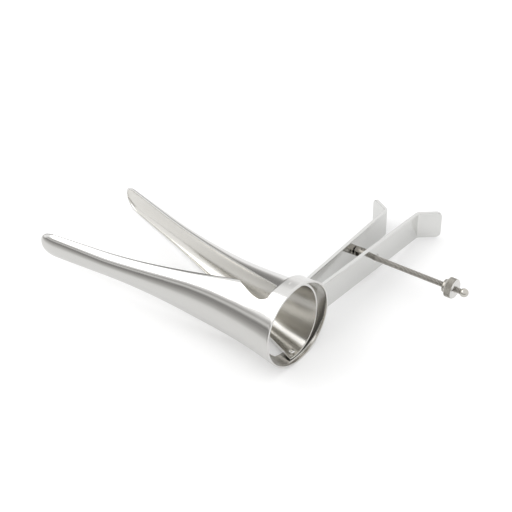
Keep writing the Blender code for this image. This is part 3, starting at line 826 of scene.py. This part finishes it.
class SPECULUM_OT_ball(bpy.types.Operator):
    """Buffed ball on the rod's end"""
    bl_idname = "speculum.ball"
    bl_label = "End ball"

    def execute(self, context):
        steel = settings()[0]
        radius = BALL_DIAMETER / 2
        angles = [math.pi * k / BALL_ROWS for k in range(1, BALL_ROWS)]
        profile = [(BALL_PLACE - radius, 0)]
        profile += [(BALL_PLACE - radius * math.cos(a), radius * math.sin(a)) for a in angles]
        profile.append((BALL_PLACE + radius, 0))
        # A buffed ball carries one small highlight
        finish = turned_stainless("buffed_ball", steel.ball_colour, BALL_ROUGHNESS)
        piece("buffed_end_ball", lathe(profile, BALL_COLUMNS), ROD_FRAME, finish, "rod",
              stands_for="end_ball")
        return {"FINISHED"}


def fillet(name, surface, origin, along, across, finish, body, leg):
    """Solder round a strip's foot, where the strip meets a curved sheet."""
    mesh = bmesh.new()
    half = STRIP_WIDTH / 2
    thick = STRIP_THICKNESS / 2
    corners = [(thick, half), (-thick, half), (-thick, -half), (thick, -half)]
    path = []
    for k, (x, z) in enumerate(corners):
        following = corners[(k + 1) % len(corners)]
        steps = LONG_SIDE_STEPS if k % 2 else SHORT_SIDE_STEPS
        for step in range(steps):
            t = step / steps
            path.append((x + (following[0] - x) * t, z + (following[1] - z) * t))
    up = Vector((0, 0, 1))

    def foot(x, z):
        """Point of the sheet under a place of the strip's section."""
        start = origin + across * x + up * z + along * PROBE_LENGTH
        hit = surface.ray_cast(start, -along)[0]
        return hit if hit else start - along * PROBE_LENGTH

    rows = []
    for x, z in path:
        out = Vector((x / thick if abs(x) > thick - 1e-6 else 0, z / half if abs(z) > half - 1e-6 else 0))
        out.normalize()
        toe = foot(x + out.x * leg, z + out.y * leg)
        inner = foot(x - out.x * SOLDER_UNDER, z - out.y * SOLDER_UNDER)
        corner = foot(x, z)
        face = corner + along * leg
        ring = (inner - along * SOLDER_SUNK, toe - along * SOLDER_TOE_SUNK,
                (toe + face + corner * SOLDER_HOLLOW) / (2 + SOLDER_HOLLOW), face,
                inner + along * leg * SOLDER_TOP)
        rows.append([mesh.verts.new(point) for point in ring])
    skin(mesh, rows + rows[:1], closed=True)
    bmesh.ops.recalc_face_normals(mesh, faces=mesh.faces)
    piece(name, mesh, INSTRUMENT, finish, body, sharp=60)


class SPECULUM_OT_solder(bpy.types.Operator):
    """Silver solder where each handle meets its valve"""
    bl_idname = "speculum.solder"
    bl_label = "Soldered joints"

    def execute(self, context):
        steel, sheet, _, _ = settings()
        # Silver solder is yellower and duller than steel, so that the joint shows as a soft line
        finish = turned_stainless("silver_solder", steel.solder_colour, SOLDER_ROUGHNESS, grain=0.5)
        near, far = near_skin(), far_skin(sheet.thickness)
        fillet("near_solder", BVHTree.FromBMesh(near), Vector((NEAR_HANDLE_X, 0, 0)), Vector((0, 1, 0)),
               Vector((1, 0, 0)), finish, "outer_half", sheet.solder)
        across = INSTRUMENT.inverted().to_3x3() @ -FAR_HANDLE_OUT
        across.normalize()
        along = Vector((-across.y, across.x, 0))
        fillet("far_solder", BVHTree.FromBMesh(far), Vector((FAR_HANDLE_X, 0, 0)), along, across,
               finish, "inner_half", sheet.solder)
        near.free()
        far.free()
        return {"FINISHED"}


class SPECULUM_OT_stage(bpy.types.Operator):
    """White sweep, light tent, soft lamp and camera"""
    bl_idname = "speculum.stage"
    bl_label = "Stage"

    def execute(self, context):
        stage = settings()[3]
        self.make_floor(stage)
        self.make_tent(context)
        self.make_lamp(context, stage)
        self.make_camera(context, stage)
        context.scene.view_settings.view_transform = "Standard"
        return {"FINISHED"}

    def make_floor(self, stage):
        """White paper, with a little white of its own for the camera and for what the steel mirrors."""
        mesh = bmesh.new()
        bmesh.ops.create_grid(mesh, x_segments=1, y_segments=1, size=FLOOR_HALF)
        data = bpy.data.meshes.new("paper_sweep")
        mesh.to_mesh(data)
        mesh.free()
        finish, tree = new_tree("matt_white_paper")
        ray = add(tree, "ShaderNodeLightPath")
        mirrored = add(tree, "ShaderNodeMath", {0: ray.outputs["Is Glossy Ray"],
                                                1: ray.outputs["Is Transmission Ray"]}, operation="MAXIMUM")
        seen = add(tree, "ShaderNodeMath", {0: ray.outputs["Is Camera Ray"], 1: mirrored.outputs[0]},
                   operation="MAXIMUM")
        place = add(tree, "ShaderNodeTexCoord")
        near = add(tree, "ShaderNodeVectorMath", {0: place.outputs["Object"], 1: (0, -1, 0)},
                   operation="DOT_PRODUCT")
        # Painted shade seen only in the steel's mirror: the paper darkens with the distance in front of it,
        # standing in for a sweep that ends in a dim room beyond the near bill
        white = linear(stage.floor_colour)
        painted_dimming = blend(tree, 1.0, white, ramp(tree, near.outputs["Value"], MIRRORED_PAPER_SHADE), "MULTIPLY")
        colour = blend(tree, mirrored.outputs[0], white, painted_dimming)
        paper = add(tree, "ShaderNodeBsdfDiffuse", {"Color": colour})
        lift = add(tree, "ShaderNodeMath", {0: seen.outputs[0], 1: stage.floor_lift}, operation="MULTIPLY")
        glow = add(tree, "ShaderNodeEmission", {"Color": colour, "Strength": lift.outputs[0]})
        both = add(tree, "ShaderNodeAddShader", {0: paper.outputs[0], 1: glow.outputs[0]})
        add(tree, "ShaderNodeOutputMaterial", {"Surface": both.outputs[0]})
        data.materials.append(finish)
        floor = bpy.data.objects.new("paper_sweep", data)
        bpy.context.scene.collection.objects.link(floor)

    def make_tent(self, context):
        """White tent that is open to a dim room on the camera's side and has a dark gap behind."""
        world = bpy.data.worlds.new("light_tent")
        context.scene.world = world
        world.use_nodes = True
        tree = world.node_tree
        tree.nodes.clear()
        place = add(tree, "ShaderNodeTexCoord")
        height = add(tree, "ShaderNodeSeparateXYZ", {"Vector": place.outputs["Generated"]})
        tent = linear("#FFFFFF")
        for centre, outer, inner, stops in OPENINGS:
            facing = add(tree, "ShaderNodeVectorMath", {0: place.outputs["Generated"],
                                                        1: Vector(centre).normalized()},
                         operation="DOT_PRODUCT")
            share = add(tree, "ShaderNodeMapRange", {"Value": facing.outputs["Value"], "From Min": outer,
                                                     "From Max": inner}, interpolation_type="SMOOTHSTEP")
            tent = blend(tree, share.outputs["Result"], tent, ramp(tree, height.outputs["Z"], stops))
        ray = add(tree, "ShaderNodeLightPath")
        lit = add(tree, "ShaderNodeBackground", {"Color": tent, "Strength": 1.0})
        white = add(tree, "ShaderNodeBackground", {"Color": linear("#FFFFFF"), "Strength": 1.0})
        shown = add(tree, "ShaderNodeMixShader", {0: ray.outputs["Is Camera Ray"], 1: lit.outputs[0],
                                                  2: white.outputs[0]})
        add(tree, "ShaderNodeOutputWorld", {"Surface": shown.outputs[0]})

    def make_lamp(self, context, stage):
        """Large softbox on the left: its mirror image is the white band along ring and near bill."""
        data = bpy.data.lights.new("left_softbox", "AREA")
        data.shape = "RECTANGLE"
        data.size, data.size_y = SOFTBOX_SIZE
        data.energy = stage.key
        lamp = bpy.data.objects.new("left_softbox", data)
        lamp.location = SOFTBOX_PLACE
        lamp.rotation_mode = "QUATERNION"
        lamp.rotation_quaternion = ((-lamp.location).to_track_quat("-Z", "Y")
                                    @ Quaternion((0, 0, 1), stage.key_roll))
        context.scene.collection.objects.link(lamp)

    def make_camera(self, context, stage):
        """Camera of the photo, from the right and above."""
        data = bpy.data.cameras.new("camera")
        data.sensor_width = SENSOR_WIDTH
        data.lens = stage.lens
        camera = bpy.data.objects.new("camera", data)
        a, e = stage.azimuth, stage.elevation
        back = Vector((math.sin(a) * math.cos(e), -math.cos(a) * math.cos(e), math.sin(e)))
        camera.location = Vector(CAMERA_AIM) + back * stage.distance
        camera.rotation_mode = "QUATERNION"
        camera.rotation_quaternion = (-back).to_track_quat("-Z", "Y") @ Quaternion((0, 0, 1), stage.roll)
        context.scene.collection.objects.link(camera)
        context.scene.camera = camera


class SPECULUM_PT_panel(bpy.types.Panel):
    """Builds the speculum piece by piece"""
    bl_idname = "SPECULUM_PT_panel"
    bl_label = "Speculum"
    bl_space_type = "VIEW_3D"
    bl_region_type = "UI"
    bl_category = "Speculum"

    def draw(self, context):
        for operator in OPERATORS:
            self.layout.operator(operator.bl_idname)
        for group in ("speculum_steel", "speculum_sheet", "speculum_rod", "speculum_stage"):
            owner = getattr(context.scene, group)
            for name in owner.__annotations__:
                self.layout.prop(owner, name)


GROUPS = {"speculum_steel": SteelSettings, "speculum_sheet": SheetSettings,
          "speculum_rod": RodSettings, "speculum_stage": StageSettings}
OPERATORS = (SPECULUM_OT_outer_valve, SPECULUM_OT_inner_valve, SPECULUM_OT_handles,
             SPECULUM_OT_fasteners, SPECULUM_OT_rod, SPECULUM_OT_nut, SPECULUM_OT_ball,
             SPECULUM_OT_solder, SPECULUM_OT_stage)


def register():
    for cls in (*GROUPS.values(), *OPERATORS, SPECULUM_PT_panel):
        bpy.utils.register_class(cls)
    for name, group in GROUPS.items():
        setattr(bpy.types.Scene, name, PointerProperty(type=group))


def unregister():
    for name in GROUPS:
        delattr(bpy.types.Scene, name)
    for cls in (SPECULUM_PT_panel, *OPERATORS, *GROUPS.values()):
        bpy.utils.unregister_class(cls)


def main():
    """Build every piece and the stage."""
    register()
    bpy.ops.speculum.outer_valve()
    bpy.ops.speculum.inner_valve()
    bpy.ops.speculum.handles()
    bpy.ops.speculum.fasteners()
    bpy.ops.speculum.rod()
    bpy.ops.speculum.nut()
    bpy.ops.speculum.ball()
    bpy.ops.speculum.solder()
    bpy.ops.speculum.stage()


if __name__ == "__main__":
    main()
